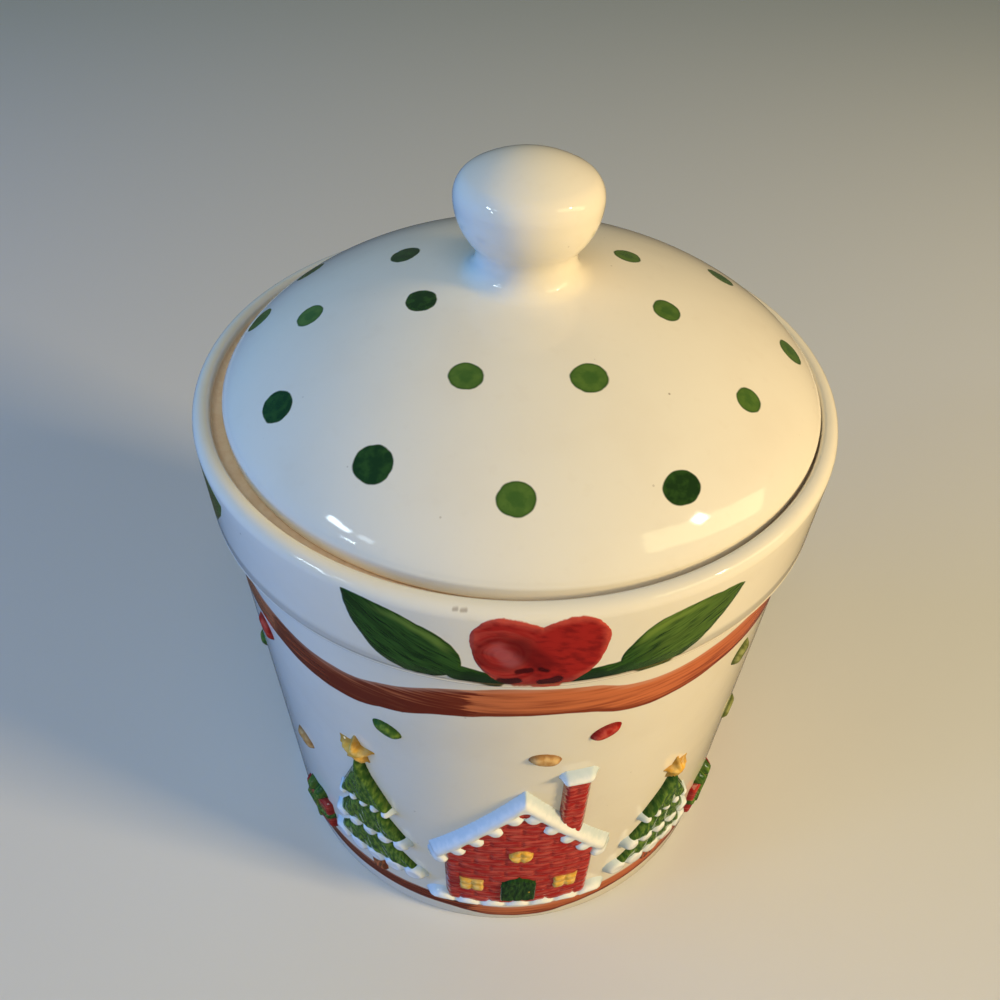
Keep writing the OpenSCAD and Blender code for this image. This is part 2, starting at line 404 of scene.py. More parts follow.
def load_round(turn, ragged):
    """How light the paint of a band is, with a ragged step wherever the brush was loaded, and with
    painted shade and sheen in front.
    """
    tone, before = brush_loads_and_sheen[-1][1], brush_loads_and_sheen[-1][1]
    for degrees, light in brush_loads_and_sheen:
        step = rise(turn * (180 / math.pi) + ragged, degrees - 0.8, degrees + 0.8)
        tone = step * (light - before) + tone
        before = light
    return tone


def brown_band(place, turn, u, z, middle, half):
    """The inside of a band in mm, and its colour, with strokes drawn out along the wall."""
    up_band = z - middle
    inside = half + cloud(place, 14) * 1.4 - 0.7 - abs(up_band)
    strokes = cloud(point(u * 0.05, z * 0.9, 0.0), 1.0, 4)
    tone = load_round(turn, strokes * 10 - 5)
    tone = tone * 0.75 + (strokes - 0.5) * 1.5 + rise(up_band, -half, half) * 0.22
    colour = mix(rise(tone, 0.10, 0.85), band_brown, band_orange)
    # Paint gathers along the lower edge, and thins out at the upper one
    gathered = 1 - rise(up_band + half + cloud(place, 9) * 1.6 - 0.8, 0.4, 2.1)
    colour = mix(gathered * 0.8, colour, band_brown)
    dry = rise(up_band + strokes * 3.0, half - 0.6, half + 1.4)
    return inside, mix(dry * 0.5, colour, band_dry)


# %% [markdown]
# ## The painted heart and leaves
#
# The heart was washed in with two round strokes, so it is thin and pinkish at its rim and in
# the middle of the left lobe, and dark where the strokes cross. A purplish wash over the left
# lobe is a painted reflection of the cool light. Each leaf has a dark vein, a painted highlight
# along one flank and a dark dab where its stem begins, and the right-hand leaf's light streaks
# are dry brushwork and painted glints. All of this is drawn in the flat map of the collar.

# %% Heart and leaf paint
def heart_paint(u, v, inside):
    swirl = ((u + 8.0) * (u + 8.0) + (v - 162.0) * (v - 162.0)) ** 0.5
    strokes = cloud(point(u * 0.45, v + u * 0.25, 2.0), 1.6, 4)
    rings = cloud(point(swirl * 1.2, u * 0.12, v * 0.12), 1.5, 2)
    tone = mix(rise(strokes, 0.40, 0.72) * 0.55, heart_red, dark_red)
    tone = mix((1 - rise(inside + strokes * 2.0, 1.0, 3.6)) * 0.75, tone, heart_thin)
    left = 1 - rise(u, -3.5, 0.5)
    tone = mix(left * rise(rings, 0.38, 0.62) * 0.35, tone, heart_thin)
    tone = mix(left * (1 - rise(abs(swirl - 5.2), 0.3, 1.8)) * 0.4, tone, dark_red)
    # A purplish wash over the left lobe, painted as a reflection of the cool light
    reflection_wash = stroke(u, v, (-8.6, 163.6), (-5.8, 159.6), 2.0) + strokes * 2.4 - 1.2
    tone = mix(rise(reflection_wash, -1.6, 1.4) * 0.5, tone, heart_reflection_wash)
    crossing = stroke(u, v, (-4.6, 165.5), (1.0, 158.5), 2.8)
    tone = mix(rise(crossing, -1.6, 1.6) * 0.65, tone, dark_red)
    for start, end, half_width in (
            ((-4.4, 156.0), (-1.6, 156.8), 0.8), ((0.5, 157.0), (1.9, 156.2), 0.65),
            ((-8.2, 151.9), (-4.6, 152.7), 1.1), ((0.6, 152.0), (4.3, 153.1), 1.15)):
        dab = stroke(u, v, start, end, half_width) + strokes * 0.8 - 0.4
        tone = mix(edge(dab, 0.7) * 0.92, tone, deep_red)
    return tone


def leaf_paint(u, v, inside, along, across, highlight_side, thin, stem_end, stem_dab):
    strokes = cloud(point(along * 5.0, across * 1.5, 1.0), 1.0, 4)
    tone = mix(rise(strokes, 0.30, 0.64), leaf_dark, leaf_green)
    tone = mix((1 - rise(inside, 0.1, 1.3)) * 0.4, tone, leaf_dark)
    # A painted highlight: lighter green along one flank of the leaf, just inside its edge
    flank = across * highlight_side
    painted_highlight = (1 - rise(abs(inside - 2.0 + strokes * 1.2 - 0.6), 0.2, 1.9)) * rise(flank, 0.4, 2.4)
    tone = mix(painted_highlight * rise(along, 0.12, 0.3) * (1 - rise(along, 0.5, 0.9)) * 0.75, tone, leaf_light)
    vein = 1 - rise(abs(flank - 0.3 + strokes * 1.2), 0.2, 1.6)
    tone = mix(vein * 0.55, tone, leaf_dark)
    tone = mix(rise(along, 0.66, 1.0) * 0.6, tone, leaf_dark)
    # Where the brush ran dry, the paint is thin and lighter in streaks; on the right-hand leaf
    # these streaks also stand in for painted glints of light
    tone = mix(rise(strokes, 0.25, 0.60) * rise(along, 0.05, 0.4) * thin, tone, leaf_light)
    return mix(edge(stroke(u, v, stem_end, stem_dab, 2.2), 1.6) * 0.9, tone, leaf_dark)


# %% Jar glaze
jar_glaze, place = new_material("jar_glaze")
x, y, z = axes(place)
turn = x.maths("ARCTAN2", y * -1)
radius = (x * x + y * y) ** 0.5
jitter = [(w - 0.5) * 1.5 for w in axes(cloud(place, 7, 2, out=1))]
quarter = turn.maths("WRAP", heart_repeat, -heart_repeat)
u = quarter * rim_r + jitter[0]
v = z + jitter[1]
wall_u = turn * rim_r

colour = body_clay(place)
on_body = edge(radius - wall_paint_r, 0.6) * edge(collar_z - 0.3 - z, 0.6)
# The foot's band takes its strokes from another part of the noise
for places, low, high, half, stroke_shift, softness in (
        (band_places, 120, 150, band_half, 0, 0.45),
        (foot_band_places, 0, 30, foot_band_half, 300, 0.8)):
    middle = height_round(place, turn, places, low, high)
    inside, tone = brown_band(place, turn, wall_u + stroke_shift, z, middle, half)
    colour = mix(edge(inside, softness) * on_body, colour, tone)

# The right-hand leaf of each side heart was painted higher than the front one
side_lift = (1 - (turn * 2).maths("COSINE")) * 2.2
on_collar = edge(radius - collar_paint_r, 0.6) * edge(z - collar_z - 0.3, 0.6)
leaf_masks = []
# The last two values of each leaf are the side of its painted highlight and the strength of its
# light streaks, which on the right-hand leaf are also painted glints
for base, tip, stem_end, stem_dab, bow, lift, highlight_side, thin in (
        ((-17.4, 154.0), (-43.3, 172.9), (-8.9, 151.9), (-14.5, 152.8), 1.6, 0.0, -1, 0.0),
        ((18.5, 153.5), (48.8, 166.5), (8.2, 152.8), (13.0, 153.1), 0.3, side_lift, 1, 0.42)):
    raised = v - lift
    blade, along, across = leaf(u, raised, base, tip, 9.0, bow)
    # The stem thins towards its end
    stem_share = most(along_line(u, v, base, stem_end)[0], 0.0)
    stem = stroke(u, v, base, stem_end, 2.9) - stem_share * 0.8
    inside = most(blade, stem)
    tone = leaf_paint(u, v, inside, along, across, highlight_side, thin, stem_end, stem_dab)
    colour = mix(edge(inside) * on_collar, colour, tone)
    leaf_masks.append(inside)
heart_inside = heart(u, v) + cloud(point(u, v, 5.0), 1.6, 2) * 0.8 - 0.4
colour = mix(edge(heart_inside) * on_collar, colour, heart_paint(u, v, heart_inside))

# The incised line is painted darker, as painted shade in its groove, and two small pits mark the
# rim
line_shade = 1 - rise(abs(z - line_z), 0.15, 0.55)
colour = mix(line_shade * on_collar * 0.6, colour, speck_brown)
pits = most(*[edge(stroke(wall_u, z, (start, 174.5), (start + length, 174.6), 0.28))
              for start, length in ((-18.2, 0.7), (-16.6, 1.0))])
colour = mix(pits * on_collar * 0.5, colour, speck_brown)

# The seat for the lid and the ring under the foot were wiped clean before firing
seat = edge(z - seat_low, 1.0) * edge(seat_out_r - radius, 0.7) * edge(seat_high - z, 1.2)
foot_ring = edge(foot_bare_h - z, 0.5) * edge(radius - foot_bare_r, 1.0)
paint_depth = most(heart_inside, *leaf_masks)
glaze(place, colour, most(seat, foot_ring), rise(paint_depth, -0.3, 1.2) * on_collar * 0.3)
print(f"jar glaze: {len(jar_glaze.node_tree.nodes)} nodes")

# %% [markdown]
# ## The lid's dots
#
# The dots sit on a dome, so their distance is measured straight through space from the middle
# of each dot, and not on a flat map. The middle's height comes from the same formula that
# shapes the dome. Each dot was dabbed with a loaded brush: some are evenly dark, the others
# are light between a dark rim and a darker middle.

# %% Lid glaze
edge_top_z = 176.1
edge_round = 1.6
edge_turn = math.radians(40)
dome_r = lid_r - edge_round * (1 - math.cos(edge_turn))
dome_h = 28.5
dome_power = 0.8
edge_bare_r, edge_bare_z = 70.8, 172.25
# Turn from the front in degrees, distance from the lid's axis, half width and half height in mm
dark_dots = [(-68.9, 27.5, 4.3, 3.8), (-63.3, 66.7, 4.7, 4.2), (-34.3, 63.9, 4.7, 4.5),
             (26.3, 67, 4.7, 3.6), (-117, 34, 4.3, 3.8), (140, 70, 4.4, 4.0), (-165, 37, 4.3, 3.8)]
light_dots = [(-119, 67, 4.7, 4.3), (-100.4, 71.8, 4.5, 4.1), (-87.9, 54.2, 4.2, 3.7),
              (113.5, 30.1, 3.8, 3.5), (109.5, 60, 4.2, 4.1), (69.8, 35.6, 4.0, 3.6),
              (83.9, 70.1, 4.3, 4.0), (55.3, 61, 3.7, 3.4), (17.2, 39.5, 4.4, 4.0),
              (-23.3, 39.6, 4.0, 3.6), (-5.3, 64.4, 4.2, 3.8), (156, 34, 4.1, 3.7),
              (168, 62, 4.2, 3.8), (-152, 68, 4.5, 4.1)]


def dome_at(r):
    """Height of the dome's outside at a distance from the lid's axis."""
    return edge_top_z + dome_h * max(0.0, 1 - (r / dome_r) ** 2) ** dome_power


lid_glaze, place = new_material("lid_glaze")
x, y, z = axes(place)
radius = ((x - lid_x) * (x - lid_x) + y * y) ** 0.5


def dots_inside(dots):
    """How far inside the nearest dot a place is, in mm."""
    nearest = []
    for degrees, r, half_wide, half_high in dots:
        a = math.radians(degrees)
        outward = (math.sin(a), -math.cos(a), 0)
        middle = (lid_x + r * outward[0], r * outward[1], dome_at(r))
        reach = place.vector_maths("DISTANCE", middle, out=1)
        off = place.vector_maths("SUBTRACT", middle)
        out_part = off.vector_maths("DOT_PRODUCT", outward, out=1)
        # A dot is a little wider than it is high, as the brush was pressed sideways
        squash = (half_wide / half_high) ** 2 - 1
        nearest.append(half_wide - (reach * reach + out_part * out_part * squash) ** 0.5)
    return most(*nearest) + cloud(place, 5, 2) * 1.2 - 0.6


dark_inside, light_inside = dots_inside(dark_dots), dots_inside(light_dots)
inside = most(dark_inside, light_inside)
dabs = cloud(place, 2.2, 3)
# Light dots have a dark rim and a darker dab in the middle
tone = mix(rise(dabs, 0.35, 0.65) * 0.5, dot_green, leaf_green)
tone = mix(rise(inside + dabs * 2.4, 3.0, 4.2) * 0.65, tone, leaf_green)
tone = mix((1 - rise(inside, 0.1, 0.8)) * 0.5, tone, leaf_dark)
dark_tone = mix(rise(dabs, 0.40, 0.70) * 0.5, leaf_dark, leaf_green)
tone = mix(rise(dark_inside, -0.5, -0.3), tone, dark_tone)
colour = body_clay(place)
colour = mix(edge(inside) * edge(z - edge_top_z + 2.5, 1.0), colour, tone)
# The lid's edge was wiped clean below, outside its locating ring, because it rests there
edge_under = edge(radius - edge_bare_r, 0.4) * edge(edge_bare_z - z, 0.7)
glaze(place, colour, edge_under)
print(f"lid glaze: {len(lid_glaze.node_tree.nodes)} nodes, {len(dark_dots + light_dots)} dots")

# %% [markdown]
# ## Turned shapes
#
# A jar is thrown or cast round an axis, so its mesh is spun: half of its outline is drawn as
# a chain of vertices and bmesh's spin operator turns it once round. The outline's corners are
# arcs with the same radii as in the CAD model, so both surfaces are the same. The chain starts
# and ends on the axis, where the spin leaves many vertices in one place, and merging them
# closes the two poles.

# %% Turned shapes
turn_steps = 288


def arc(x, z, r, start, end, steps=8):
    """Points of an arc about (x, z) from one angle to another, in degrees."""
    angles = [math.radians(start + (end - start) * i / steps) for i in range(steps + 1)]
    return [(x + r * math.cos(a), z + r * math.sin(a)) for a in angles]


def line(start, end, steps):
    """Points of a straight line, with neither its start nor its end."""
    return [tuple(a + (b - a) * i / steps for a, b in zip(start, end)) for i in range(1, steps)]


def turned(outline, centre_x=0.0):
    bm = bmesh.new()
    verts = [bm.verts.new(Vector((centre_x + r, 0, z)) * MM) for r, z in outline]
    chain = [bm.edges.new(pair) for pair in zip(verts, verts[1:])]
    bmesh.ops.spin(bm, geom=verts + chain, cent=(centre_x * MM, 0, 0), axis=(0, 0, 1),
                   angle=math.tau, steps=turn_steps, use_merge=True)
    bmesh.ops.remove_doubles(bm, verts=bm.verts, dist=0.0005 * MM)
    bmesh.ops.recalc_face_normals(bm, faces=bm.faces)
    return bm


def finish_piece(name, bm, material, body, stands_for=()):
    """Makes the mesh an object that rides on its body and stands for its CAD nodes."""
    mesh = bpy.data.meshes.new(name)
    bm.to_mesh(mesh)
    bm.free()
    mesh.shade_smooth()
    mesh.materials.append(material)
    piece = add_object(name, mesh)
    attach(piece, body)
    if stands_for:
        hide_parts(*stands_for)
    size = tuple(round(d / MM, 1) for d in piece.dimensions)
    print(f"{name}: {len(mesh.polygons)} faces, {size}")
    return piece


# %% [markdown]
# ## The jar
#
# The outline runs from the middle of the underside out over the foot ring, up the wall, round
# the collar and over the rim, then down the inside past the ledge that carries the lid.

# %% Jar
body_r, foot_r = 82.2, 80.4
wall, floor_t, foot_round, floor_round = 5.0, 6.0, 3.0, 9.0
foot_ring_w, foot_hollow, ring_round = 5.0, 1.8, 0.6
collar_round, slip_fillet, rim_round, inner_round = 1.8, 0.5, 3.0, 1.2
line_d, line_half = 0.5, 0.5
well_r, mouth_r = 80.5, 73.5
seat_z, ledge_h = 171.0, 6.0
ring_in_r = foot_r - foot_round - foot_ring_w
collar_in_r = well_r - 1

inner_foot_x = foot_r - wall - floor_round
outline = [(0, foot_hollow)] + [(ring_in_r * i / 8 - foot_hollow, foot_hollow) for i in range(1, 9)]
outline += arc(ring_in_r + ring_round, ring_round, ring_round, 150, 270, 4)
outline += arc(foot_r - foot_round, foot_round, foot_round, -90, 0)
wall_steps = 24
outline += line((foot_r, foot_round), (body_r, collar_z), wall_steps)
# A soft fillet where the slip pooled between the wall and the collar
outline += arc(body_r + slip_fillet, collar_z - slip_fillet, slip_fillet, 180, 90, 4)
outline += arc(rim_r - collar_round, collar_z + collar_round, collar_round, -90, -13)
outline += [(rim_r, line_z - line_half), (rim_r - line_d * 0.8, line_z - 0.12),
            (rim_r - line_d, line_z), (rim_r - line_d * 0.8, line_z + 0.12),
            (rim_r, line_z + line_half)]
outline += [(rim_r, z) for z in (155, 160, 165, 169)]
outline += arc(rim_r - rim_round, jar_h - rim_round, rim_round, 0, 90, 10)
outline += arc(well_r + inner_round, jar_h - inner_round, inner_round, 90, 180)
outline += arc(well_r - inner_round, seat_z + inner_round, inner_round, 0, -90)
outline += arc(mouth_r + inner_round, seat_z - inner_round, inner_round, 90, 180)
outline += [(mouth_r, seat_z - ledge_h), (collar_in_r, seat_z - ledge_h - (collar_in_r - mouth_r))]
outline += [(body_r - wall, collar_z - collar_round)]
outline += line((body_r - wall, collar_z), (foot_r - wall, floor_t + floor_round), wall_steps)
outline += arc(inner_foot_x, floor_t + floor_round, floor_round, 0, -90)
outline += line((inner_foot_x, floor_t), (0, floor_t), 8) + [(0, floor_t)]
finish_piece("glazed_jar", turned(outline), jar_glaze, "jar", ["jar"])

# %% [markdown]
# ## The lid
#
# The lid is one outline as well: knob, neck, dome, edge, the locating ring under it and the
# hollow inside. The knob's top is a wide arc that meets a tighter turn at its side, and the
# side runs into the neck along one more arc. Where two arcs meet, both have the same slope,
# so the radii and angles are worked out from each other.

# %% Lid
lid_z, edge_low_round = 171.3, 1.0
ring_r, ring_t, ring_h, ring_end_r, ring_chamfer = 71.3, 3.5, 8.0, 1.0, 0.6
inner_drop = 5.29
knob_r, knob_crown, knob_round = 17.8, 9.5, 6.5
neck_r, neck_round, neck_wall = 12.5, 5.5, 5.0

knob_z = knob_top - knob_crown
neck_x = neck_r + neck_round
neck_slope = math.atan(2 * dome_power * dome_h * neck_x / dome_r ** 2
                       * (1 - (neck_x / dome_r) ** 2) ** (dome_power - 1))
neck_foot_r = neck_x - neck_round * math.sin(neck_slope)
neck_z = dome_at(neck_foot_r) + neck_round * math.cos(neck_slope)
gap, climb = neck_x - knob_r, knob_z - neck_z
side_round = (gap * gap + climb * climb - neck_round ** 2) / (2 * (neck_round - gap))
side_angle = math.degrees(math.atan2(climb, gap + side_round))
crown_x = knob_r - knob_round
crown_drop = (crown_x ** 2 - (knob_crown - knob_round) ** 2) / (2 * (knob_crown - knob_round))
crown_angle = math.degrees(math.atan2(crown_drop, crown_x))
hollow_r = ring_r - ring_t
pocket_end_r = neck_r - neck_wall
pocket_r = pocket_end_r + 1.5
pocket_top = knob_top - 1.6 * neck_wall

outline = arc(0, knob_z - crown_drop, knob_crown + crown_drop, 90, crown_angle, 10)
outline += arc(crown_x, knob_z, knob_round, crown_angle, 0, 10)[1:]
outline += arc(knob_r - side_round, knob_z, side_round, 0, -side_angle, 12)[1:]
outline += arc(neck_x, neck_z, neck_round, 180 - side_angle, 270 - math.degrees(neck_slope), 12)[1:]
dome_steps = 44
for i in range(1, dome_steps + 1):
    r = neck_foot_r + (dome_r - neck_foot_r) * (1 - (1 - i / dome_steps) ** 1.5)
    outline.append((r, dome_at(r)))
outline += arc(lid_r - edge_round, edge_top_z - edge_round * math.sin(edge_turn), edge_round,
               math.degrees(edge_turn), 0)[1:]
outline += arc(lid_r - edge_low_round, lid_z + edge_low_round, edge_low_round, 0, -90)
outline += [(ring_r + ring_chamfer, lid_z), (ring_r, lid_z - ring_chamfer)]
outline += arc(ring_r - ring_end_r, lid_z - ring_h + ring_end_r, ring_end_r, 0, -90)
outline += arc(hollow_r + ring_end_r, lid_z - ring_h + ring_end_r, ring_end_r, -90, -180)
for i in range(dome_steps + 1):
    r = hollow_r + (pocket_r - hollow_r) * i / dome_steps
    outline.append((r, dome_at(r) - inner_drop))
outline += arc(0, pocket_top - pocket_end_r, pocket_end_r, 20, 90)
finish_piece("glazed_lid", turned(outline, lid_x), lid_glaze, "lid", ["lid"])

# %% [markdown]
# ## Clay relief
#
# Each ornament was pressed in a mould and stuck on the wall, so it is a low pillow with a
# rounded edge. It could be an outline that is extruded and bevelled, but the bevel of a lumpy
# outline tangles at its tight corners. Here a fine grid from bmesh is cut to the outline with
# a distance to the edge, which stays clean for any outline: the vertices rise steeply at the
# edge and level out at the shoulder, and sink into the wall outside it. Then the sheet is
# given a back and bent round the wall.

# %% Distances to an outline
def disc(x, z, middle_x, middle_z, r):
    return np.hypot(x - middle_x, z - middle_z) - r


def slab(x, z, middle_x, middle_z, half_w, half_h, corner=0.0):
    """A rectangle with round corners."""
    dx = np.abs(x - middle_x) - half_w + corner
    dz = np.abs(z - middle_z) - half_h + corner
    outside = np.hypot(np.maximum(dx, 0), np.maximum(dz, 0))
    return outside + np.minimum(np.maximum(dx, dz), 0) - corner


def shape(x, z, corners):
    """Distance to a closed outline through the corners, negative inside it."""
    nearest = np.full(x.shape, 1e9)
    inside = np.zeros(x.shape, bool)
    for (ax, az), (bx, bz) in zip(corners, corners[1:] + corners[:1]):
        ex, ez = bx - ax, bz - az
        t = np.clip(((x - ax) * ex + (z - az) * ez) / (ex * ex + ez * ez), 0, 1)
        nearest = np.minimum(nearest, np.hypot(x - ax - t * ex, z - az - t * ez))
        crosses = (az > z) != (bz > z)
        reach = ex * (z - az) / np.where(ez == 0, 1e-9, ez) + ax
        inside ^= crosses & (x < reach)
    return np.where(inside, -nearest, nearest)


def joined(*distances, blend=1.0):
    """The union of several shapes, with soft clay filling the notches between them."""
    first, *others = distances
    for other in others:
        h = np.clip(0.5 + 0.5 * (other - first) / blend, 0, 1)
        first = other * (1 - h) + first * h - blend * h * (1 - h)
    return first


def groove(off_line, half_w):
    """How deep a pressed groove is, from 1 on its line down to 0 beside it."""
    return np.exp(-(off_line / half_w) ** 2)


# %% Relief on the wall
ground_z = 19.0
grid_cell = 0.5
skirt = 0.9
sunk, back_t = 0.7, 0.5
carve_w = 0.8
swell_power = 2.2
tallest = 2.95
wall_slope = (body_r - foot_r) / (collar_z - foot_round)


def pillow(bm, inside_of, box, turn, height, shoulder, base=0.0, carve=None):
    """Adds a pillow of clay. inside_of(x, z) is the distance to its outline, in mm."""
    # The attribute comes first, because a new layer makes all earlier vertices invalid
    layers = bm.verts.layers.float
    edge_depth = layers.get("edge_depth") or layers.new("edge_depth")
    x0, z0, x1, z1 = box
    sheet = bmesh.ops.create_grid(bm, x_segments=round((x1 - x0) / grid_cell),
                                  y_segments=round((z1 - z0) / grid_cell), size=0.5)["verts"]
    bmesh.ops.scale(bm, vec=(x1 - x0, z1 - z0, 1), verts=sheet)
    bmesh.ops.translate(bm, vec=((x0 + x1) / 2, (z0 + z1) / 2, 0), verts=sheet)
    co = np.array([v.co[:] for v in sheet])
    far = inside_of(co[:, 0], co[:, 1]) > skirt
    kept = [v for v, out in zip(sheet, far) if not out]
    bmesh.ops.delete(bm, geom=[v for v, out in zip(sheet, far) if out], context="VERTS")
    loose = [v for v in kept if not v.link_faces]
    kept = [v for v in kept if v.link_faces]
    bmesh.ops.delete(bm, geom=loose, context="VERTS")
    # Extruding lifts the sheet off its own outline, so a copy of it closes the back
    faces = list({face: None for v in kept for face in v.link_faces})
    lines = list({line: None for face in faces for line in face.edges})
    copy = bmesh.ops.duplicate(bm, geom=kept + lines + faces)["geom"]
    copy = [item for item in copy if isinstance(item, bmesh.types.BMVert)]
    lifted = bmesh.ops.extrude_face_region(bm, geom=faces)["geom"]
    front = [item for item in lifted if isinstance(item, bmesh.types.BMVert)]
    rim = [v for v in kept if v.is_valid]
    bmesh.ops.remove_doubles(bm, verts=copy + rim, dist=grid_cell / 10)
    back = [v for v in copy + rim if v.is_valid]

    verts = front + back
    co = np.array([v.co[:] for v in verts])
    x, z = co[:, 0], co[:, 1]
    depth = -inside_of(x, z)
    swell = 1 - (1 - np.clip(depth / shoulder, 0, 1)) ** swell_power
    h = base + (height - base) * swell
    if carve is not None:
        h += carve(x, z) * np.clip(depth / carve_w, 0, 1)
    h = np.where(depth < 0, base + sunk * depth / skirt, np.minimum(h, tallest))
    h[len(front):] = -sunk - back_t
    r = foot_r + wall_slope * (z + ground_z - foot_round) + h
    y = -np.sqrt(np.maximum(r * r - x * x, 1))
    a = math.radians(turn)
    places = np.column_stack((x * math.cos(a) - y * math.sin(a),
                              x * math.sin(a) + y * math.cos(a), z + ground_z)) * MM
    for vert, on_wall, d in zip(verts, places, depth):
        vert.co = on_wall
        vert[edge_depth] = d


def stick(name, bm, material, stands_for=()):
    """Ends a piece of relief that rides on the jar."""
    bmesh.ops.recalc_face_normals(bm, faces=bm.faces)
    return finish_piece(name, bm, material, "jar", stands_for)


# %% [markdown]
# ## Paint on the relief
#
# A decorator fills each raised shape with one or two strokes of colour. The brush leaves it
# full in the middle of a stroke and thin beside it. Round the foot of the relief the colours
# are painted darker and white is painted bluish: glaze that pools there, and painted shade
# where the relief meets the wall. Every vertex of a pillow therefore keeps its distance to
# the outline as an attribute, which the material reads.

# %% Relief paint
def painted(name, full, thin, pool_and_shade, stroke_size=(3.0, 1.2), pool_shade_w=1.1, pool_shade_share=0.6):
    material, place = new_material(name)
    x, y, z = axes(place)
    depth = place.node("ShaderNodeAttribute", {"attribute_name": "edge_depth"}, out=2)
    wall_u = x.maths("ARCTAN2", y * -1) * rim_r
    strokes = cloud(point(wall_u / stroke_size[0], z / stroke_size[1], 0.0), 1.0, 3)
    tone = mix(rise(strokes, 0.38, 0.68), full, thin)
    frayed = depth + cloud(place, 2.2) * 1.2 - 0.6
    # Round the foot of the relief the colour turns darker, or bluish on white: glaze that pools
    # there, and painted shade where the relief meets the wall
    tone = mix((1 - rise(frayed, 0.1, pool_shade_w)) * pool_shade_share, tone, pool_and_shade)
    glaze(place, tone, height=strokes * 0.08)
    return material


brick_paint = painted("brick_paint", brick_red, brick_pink, dark_red, (5.0, 1.0))
snow_paint = painted("snow_paint", snow_white, (0.80, 0.83, 0.83), snow_shade_blue, (3.0, 3.0), 1.5, 0.6)
fir_paint = painted("fir_paint", leaf_green, leaf_light, leaf_dark, (1.0, 3.2))
door_paint = painted("door_paint", leaf_dark, leaf_green, leaf_dark, (0.9, 4.0))
trunk_paint = painted("trunk_paint", trunk_brown, band_orange, band_brown, (0.9, 4.0))
gold_paint = painted("gold_paint", gold, (0.86, 0.60, 0.20), trunk_brown, (2.0, 2.0), 0.7, 0.45)
print("paints:", [m.name for m in bpy.data.materials if m.name.endswith("_paint")])

# %% [markdown]
# ## The cottage
#
# The front wall is the lowest layer, with courses pressed into it. Snow, door and windows lie
# on top of it.

# %% Cottage
cottage_w, eaves_h, ridge_h, snow_t = 46.0, 34.0, 76.0, 9.0
roof_over, roof_lumps = 4.0, 5
half_w = cottage_w / 2
roof_slope = (ridge_h - snow_t - eaves_h) / half_w
chimney_x = cottage_w * 0.22
chimney_w = cottage_w / 6
chimney_top = ridge_h + 6
course_h, brick_w = 4.25, 9.2


def cottage_front(x, z):
    under = snow_t / 2
    gable = shape(x, z, [(-half_w, 0), (half_w, 0), (half_w, eaves_h + under),
                         (0, ridge_h - snow_t + under), (-half_w, eaves_h + under)])
    chimney = slab(x, z, chimney_x + chimney_w / 2, (ridge_h / 2 + chimney_top) / 2,
                   chimney_w / 2, (chimney_top - ridge_h / 2) / 2)
    return joined(gable, chimney, blend=0.5)


def courses(x, z):
    """Grooves between rows of bricks, with staggered upright joints."""
    row, up_row = np.floor(z / course_h), (z / course_h) % 1
    across = (x / brick_w + row * 0.5 + np.where(up_row > 0.5, 0.5, 0)) % 1
    return -0.38 * np.maximum(groove((up_row - 0.5) * course_h, 0.45),
                              groove((across - 0.5) * brick_w, 0.45))


def roof_snow(x, z):
    reach = half_w + roof_over
    eave_z = ridge_h - reach * roof_slope
    slopes = shape(x, z, [(0, ridge_h), (reach, eave_z), (reach, eave_z - snow_t),
                          (0, ridge_h - snow_t), (-reach, eave_z - snow_t), (-reach, eave_z)])
    lump_r = 0.6 * reach / roof_lumps
    lumps = [disc(x, z, side * (i + 0.5) * reach / roof_lumps,
                  ridge_h - snow_t - (i + 0.5) * reach / roof_lumps * roof_slope, lump_r)
             for i in range(roof_lumps) for side in (-1, 1)]
    return joined(slopes, *lumps, blend=0.8)


def chimney_snow(x, z):
    return slab(x, z, chimney_x + chimney_w / 2, chimney_top + 1, chimney_w / 2 + 1, 2, 1.9)


def ground_snow(x, z, w=cottage_w + 10, lumps=7, low=2.0):
    mounds = [disc(x, z, (i + 0.5) * w / lumps - w / 2, low - 2.6, w / lumps * 0.68)
              for i in range(lumps)]
    return np.maximum(joined(*mounds, blend=0.8), -0.2 - z)


def soft_lumps(x, z):
    return 0.12 * np.sin(x * 0.55 + z * 0.21) * np.sin(z * 0.47 - x * 0.17)


bm = bmesh.new()
pillow(bm, cottage_front, (-25, -2, 25, 84), 0, 2.0, 1.8, carve=courses)
stick("cottage_front", bm, brick_paint, ["cottage_sprig"])
bm = bmesh.new()
pillow(bm, roof_snow, (-29, 10, 29, 78), 0, 2.9, 2.4, 0.5, soft_lumps)
pillow(bm, chimney_snow, (7, 78, 21, 87), 0, 2.9, 1.8, 0.5)
pillow(bm, ground_snow, (-31, -2, 31, 9), 0, 2.8, 2.2, 0.2, soft_lumps)
stick("cottage_snow", bm, snow_paint)

# %% Door and windows
door_w, door_z, door_h, plank_w = cottage_w / 4, 5.0, eaves_h * 0.35, 2.9
pane, pane_x, pane_z = cottage_w / 6, cottage_w * 0.32, eaves_h * 0.5
round_z, loft_z = eaves_h * 1.15, 30.0


def door(x, z):
    return joined(slab(x, z, 0, door_z + door_h / 2, door_w / 2, door_h / 2),
                  disc(x, z, 0, door_z + door_h, door_w / 2), blend=0.2)


def planks(x, z):
    return -0.3 * groove(((x / plank_w) % 1 - 0.5) * plank_w, 0.4)


def bars(x, z):
    """A window's crossed glazing bars, each side of the door and in the gable."""
    x = np.abs(x)
    near = np.where(z > loft_z, x, np.abs(x - pane_x))
    level = np.where(z > loft_z, z - round_z, z - pane_z)
    return -0.55 * np.maximum(groove(near, 0.55), groove(level, 0.55))


